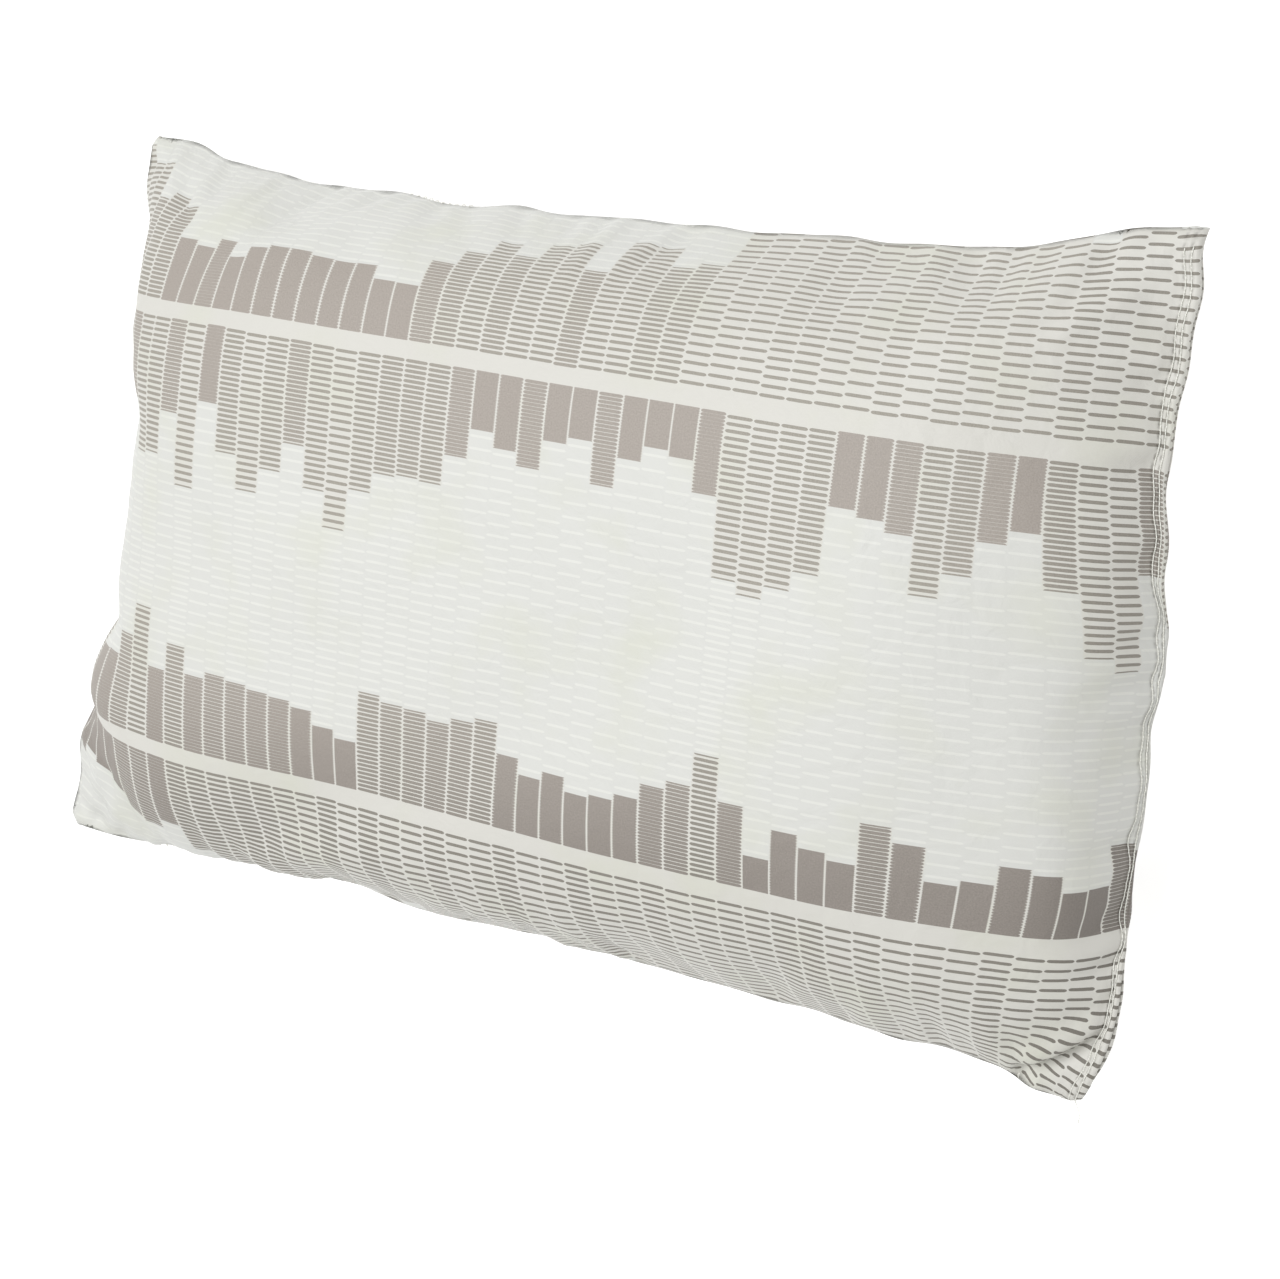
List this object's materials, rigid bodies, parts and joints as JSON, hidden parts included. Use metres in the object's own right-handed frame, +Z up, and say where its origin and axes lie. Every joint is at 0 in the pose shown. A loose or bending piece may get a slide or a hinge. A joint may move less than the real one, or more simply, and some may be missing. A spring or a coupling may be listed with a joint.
{
  "type": "camp pillow",
  "caption": "Small stuffed camp pillow: a printed woven casing with turned seams, closed at one end by a flat topstitched hem over loose fibre fill",
  "frame": {"origin": "middle of the pillow's footprint, at the height of the flattened back it rests on", "axes": "+X along the pillow towards the topstitched end, +Y across it, +Z up out of the printed front"},
  "size_m": [0.4394, 0.292, 0.1003],
  "materials": {
    "printed_cloth": "satiny woven polyester, pale grey-green with a taupe bar print",
    "sewing_thread": "off-white twisted polyester thread",
    "fill_fibre": "white lofty polyester fibre"
  },
  "bodies": {
    "root": {"front_panel": "printed_cloth", "back_panel": "printed_cloth", "seam_overlock_thread": "sewing_thread", "outer_row_needle_thread": "sewing_thread", "outer_row_bobbin_thread": "sewing_thread", "inner_row_needle_thread": "sewing_thread", "inner_row_bobbin_thread": "sewing_thread", "fibre_fill": "fill_fibre"}
  },
  "joints": []
}
